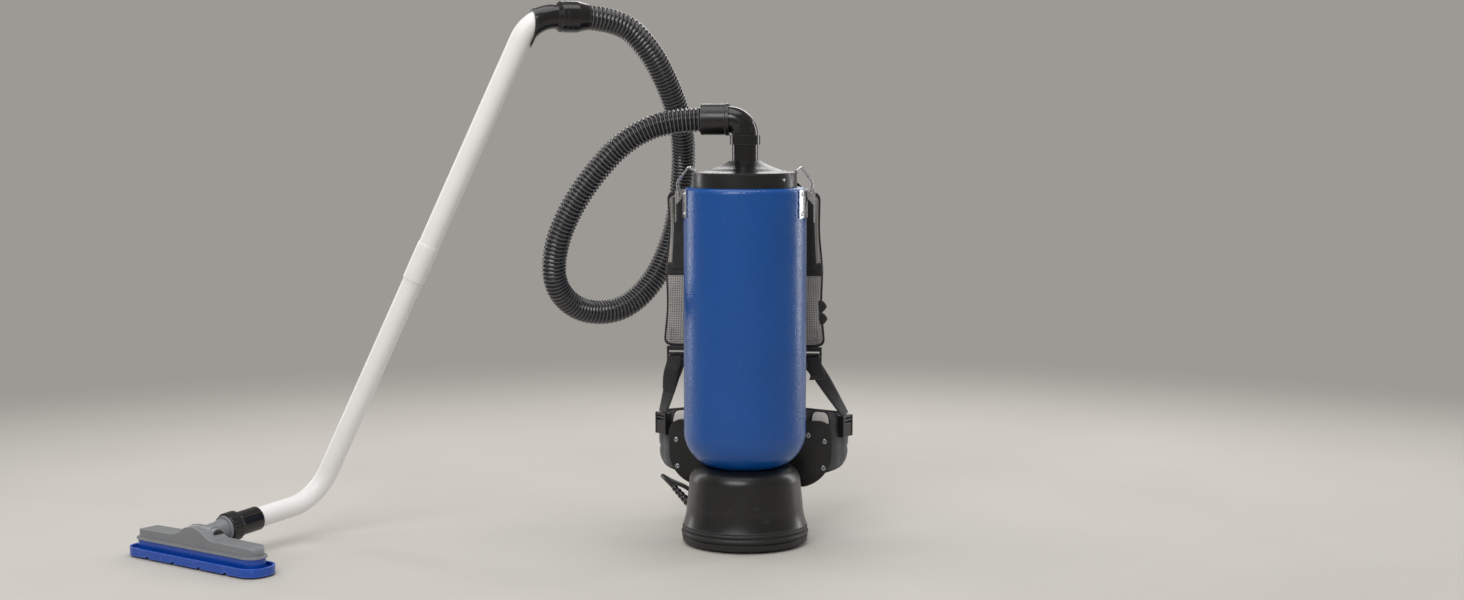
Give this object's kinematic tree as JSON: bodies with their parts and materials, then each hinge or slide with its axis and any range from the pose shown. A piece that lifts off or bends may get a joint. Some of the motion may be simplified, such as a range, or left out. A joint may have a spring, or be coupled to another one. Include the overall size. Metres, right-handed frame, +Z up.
{
  "type": "backpack vacuum cleaner",
  "caption": "Backpack vacuum cleaner: round tank on a motor base, latched lid with swivel elbow, ribbed hose, bent wand, floor tool, padded harness and short mains cord.",
  "frame": {"origin": "centre of the base on the floor", "axes": "+Z up along the tank's axis, +Y towards the wearer's back, -X to the side where the hose leaves the elbow"},
  "size_m": [1.1561, 0.6692, 0.8915],
  "materials": {
    "tank_plastic": "grained satin",
    "black_plastic": "satin",
    "black_rubber": "matt",
    "bag_paper": "matt",
    "collar_card": "matt",
    "zinc_steel": "satin",
    "steel": "satin",
    "polished_steel": "polished",
    "fan_aluminium": "satin",
    "laminated_steel": "satin",
    "winding_copper": "varnished",
    "carbon": "matt",
    "filter_paper": "matt",
    "switch_black": "gloss",
    "hose_plastic": "satin",
    "wand_plastic": "gloss",
    "tool_grey": "satin",
    "skirt_blue": "satin",
    "bristle": "matt",
    "harness_mesh": "woven",
    "pad_fabric": "woven",
    "webbing_fabric": "woven",
    "plug_plastic": "satin",
    "prong_brass": "bright"
  },
  "bodies": {
    "vacuum": {"tank": "tank_plastic", "filter_bag": "bag_paper", "bag_collar": "collar_card", "base_shell": "black_plastic", "bumper_ring": "black_plastic", "bottom_grille": "black_plastic", "rubber_feet": "black_rubber", "base_screws": "zinc_steel", "motor_gasket": "black_rubber", "fan_case": "fan_aluminium", "motor_frame": "zinc_steel", "field_stack": "laminated_steel", "bearings": "steel", "carbon_brushes": "carbon", "exhaust_filter": "filter_paper", "switch_housing": "switch_black", "latch_plates": "steel", "latch_rivets": "polished_steel", "back_plate": "black_plastic", "plate_standoffs": "black_plastic", "hip_plate": "black_plastic", "hip_screws": "zinc_steel", "back_pad": "harness_mesh", "shoulder_pads": "harness_mesh", "hip_pads": "pad_fabric", "strap_locks": "switch_black", "harness_webbing": "webbing_fabric", "buckle_socket": "switch_black", "buckle_plug": "switch_black", "strain_relief": "black_rubber", "power_cord": "black_rubber", "power_plug": "plug_plastic", "plug_prongs": "prong_brass"},
    "rotor": {"motor_shaft": "steel", "fan_impeller": "fan_aluminium", "armature": "winding_copper"},
    "lid": {"lid_cover": "black_plastic", "lid_band": "black_plastic", "lid_gasket": "black_rubber", "intake_neck": "black_plastic"},
    "hose_set": {"elbow_collar": "black_plastic", "elbow": "black_plastic", "hose_cuff_tank": "black_plastic", "hose": "hose_plastic", "hose_cuff_wand": "black_plastic"},
    "upper_wand_set": {"wand_grip": "black_plastic", "upper_wand": "wand_plastic"},
    "lower_wand_set": {"lower_wand": "wand_plastic", "tool_cuff": "black_plastic", "tool_nut": "black_plastic"},
    "tool_neck_set": {"tool_neck": "tool_grey"},
    "tool_head": {"tool_body": "tool_grey", "tool_skirt": "skirt_blue", "pivot_caps": "black_plastic", "brush_strips": "bristle"},
    "rocker": {"switch_rocker": "switch_black"},
    "latch_lever_right": {"lever_right": "steel"},
    "latch_lever_left": {"lever_left": "steel"},
    "latch_bail_right": {"bail_right": "polished_steel"},
    "latch_bail_left": {"bail_left": "polished_steel"}
  },
  "joints": [
    {"name": "motor_spin", "type": "hinge", "parent": "vacuum", "child": "rotor", "pos_m": [0, 0, 0.05], "axis": [0, 0, 1], "continuous": true},
    {"name": "lid_lift", "type": "slide", "parent": "vacuum", "child": "lid", "axis": [0, 0, 1], "range_m": [0, 0.045]},
    {"name": "elbow_swivel", "type": "hinge", "parent": "lid", "child": "hose_set", "pos_m": [0, 0, 0.665], "axis": [0, 0, 1], "continuous": true},
    {"name": "wand_swivel", "type": "hinge", "parent": "hose_set", "child": "upper_wand_set", "pos_m": [-0.25493, -0.02251, 0.866], "axis": [-0.8779, -0.4789, 0], "range_deg": [-60, 90]},
    {"name": "wand_pull", "type": "slide", "parent": "upper_wand_set", "child": "lower_wand_set", "axis": [-0.4277, 0.0396, -0.9031], "range_m": [0, 0.05]},
    {"name": "tool_swivel", "type": "hinge", "parent": "lower_wand_set", "child": "tool_neck_set", "pos_m": [-0.83791, -0.23539, 0.046], "axis": [0.5071, 0.8575, 0.0872], "continuous": true},
    {"name": "tool_pitch", "type": "hinge", "parent": "tool_neck_set", "child": "tool_head", "pos_m": [-0.83791, -0.23539, 0.046], "axis": [0.8607, -0.509, 0], "range_deg": [-80, 5]},
    {"name": "switch_rock", "type": "hinge", "parent": "vacuum", "child": "rocker", "pos_m": [0.04272, 0.08035, 0.058], "axis": [-0.8829, 0.4695, 0], "range_deg": [0, 24]},
    {"name": "latch_open_right", "type": "hinge", "parent": "vacuum", "child": "latch_lever_right", "pos_m": [0.1095, 0, 0.583], "axis": [0, -1, 0], "range_deg": [0, 150.1]},
    {"name": "bail_swing_right", "type": "hinge", "parent": "latch_lever_right", "child": "latch_bail_right", "pos_m": [0.10701, 0, 0.57126], "axis": [0, -1, 0], "range_deg": [-202.5, 0]},
    {"name": "latch_open_left", "type": "hinge", "parent": "vacuum", "child": "latch_lever_left", "pos_m": [-0.1095, 0, 0.583], "axis": [0, 1, 0], "range_deg": [0, 150.1]},
    {"name": "bail_swing_left", "type": "hinge", "parent": "latch_lever_left", "child": "latch_bail_left", "pos_m": [-0.10701, 0, 0.57126], "axis": [0, 1, 0], "range_deg": [-202.5, 0]}
  ],
  "couplings": [
    {"joint": "latch_open_right", "follows": "lid_lift", "rad_per_m": 58.18},
    {"joint": "bail_swing_right", "follows": "lid_lift", "rad_per_m": -78.5},
    {"joint": "latch_open_left", "follows": "lid_lift", "rad_per_m": 58.18},
    {"joint": "bail_swing_left", "follows": "lid_lift", "rad_per_m": -78.5}
  ]
}
